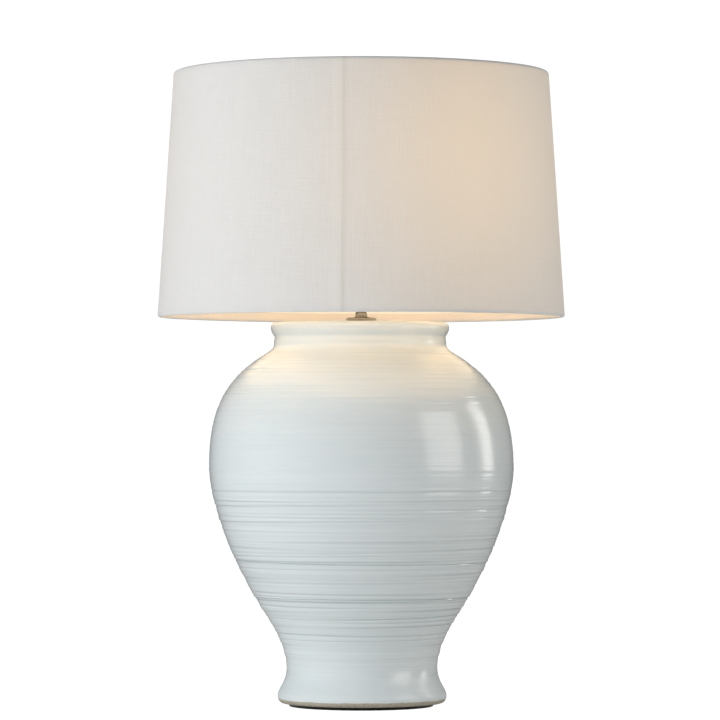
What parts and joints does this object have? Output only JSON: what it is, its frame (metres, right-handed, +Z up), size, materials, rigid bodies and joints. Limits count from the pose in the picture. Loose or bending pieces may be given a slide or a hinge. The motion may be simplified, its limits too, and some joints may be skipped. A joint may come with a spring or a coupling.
{
  "type": "table lamp with shade",
  "caption": "Table lamp with a thrown, glazed ceramic vase base, harp, knob-switched screw lampholder, bulb and a tapered fabric drum shade.",
  "frame": {"origin": "centre of the foot pad's underside, on the surface that the lamp stands on", "axes": "+Z up along the rod; +Y towards the back, where the cable inlet is; the harp lies in the XZ plane; the switch knob points to -Y"},
  "size_m": [0.45, 0.45, 0.7],
  "materials": {
    "glaze": "glossy pale blue-grey glaze over throwing rings",
    "felt": "dense black felt",
    "zinc": "zinc-plated steel",
    "rubber": "black moulded rubber",
    "nickel": "polished nickel plate",
    "brass": "satin brass",
    "porcelain": "unglazed white porcelain",
    "card": "brown insulating card",
    "plastic": "satin white moulding",
    "black_glass": "black moulded insulator",
    "board": "white circuit board",
    "opal": "opal diffuser",
    "linen": "white linen weave with slubs",
    "liner": "satin cream laminate"
  },
  "bodies": {
    "base": {"felt_foot_pad": "felt", "ceramic_vase": "glaze", "cable_grommet": "rubber", "base_washer": "zinc", "base_nut": "zinc", "lamp_rod": "zinc", "cap_gasket": "rubber", "vase_cap": "nickel", "check_ring": "nickel", "neck_flange": "nickel", "domed_nut": "nickel", "saddle_nut": "nickel", "harp_saddle": "nickel", "harp_bow": "nickel", "socket_cap": "brass", "socket_set_screw": "zinc", "socket_shell": "brass", "socket_card_sleeve": "card", "socket_block": "porcelain", "socket_screw_shell": "brass", "socket_contact": "brass", "terminal_screw_left": "brass", "terminal_screw_right": "zinc"},
    "harp_top": {"harp_stud": "nickel"},
    "shade": {"shade_fabric": "linen", "shade_liner": "liner", "spider_frame": "nickel", "bottom_wire_ring": "nickel"},
    "finial": {"finial": "nickel"},
    "bulb": {"bulb_tip_contact": "zinc", "bulb_insulator": "black_glass", "bulb_screw_cap": "zinc", "bulb_body": "plastic", "bulb_led_board": "board", "bulb_diffuser": "opal"},
    "switch": {"switch_knob": "brass"},
    "left_sleeve": {"harp_sleeve_left": "nickel"},
    "right_sleeve": {"harp_sleeve_right": "nickel"}
  },
  "joints": [
    {"name": "shade_turn", "type": "hinge", "parent": "base", "child": "harp_top", "pos_m": [0, 0, 0.6765], "axis": [0, 0, 1], "continuous": true},
    {"name": "shade_lift", "type": "slide", "parent": "harp_top", "child": "shade", "axis": [0, 0, 1], "range_m": [0, 0.28]},
    {"name": "finial_turn", "type": "hinge", "parent": "shade", "child": "finial", "pos_m": [0, 0, 0.69], "axis": [0, 0, 1], "range_deg": [0, 1440]},
    {"name": "bulb_turn", "type": "hinge", "parent": "base", "child": "bulb", "pos_m": [0, 0, 0.53], "axis": [0, 0, 1], "range_deg": [0, 1080]},
    {"name": "switch_turn", "type": "hinge", "parent": "base", "child": "switch", "pos_m": [0, -0.03, 0.4684], "axis": [0, -1, 0], "continuous": true},
    {"name": "left_sleeve_slide", "type": "slide", "parent": "base", "child": "left_sleeve", "axis": [0, 0, 1], "range_m": [0, 0.014]},
    {"name": "right_sleeve_slide", "type": "slide", "parent": "base", "child": "right_sleeve", "axis": [0, 0, 1], "range_m": [0, 0.014]}
  ]
}
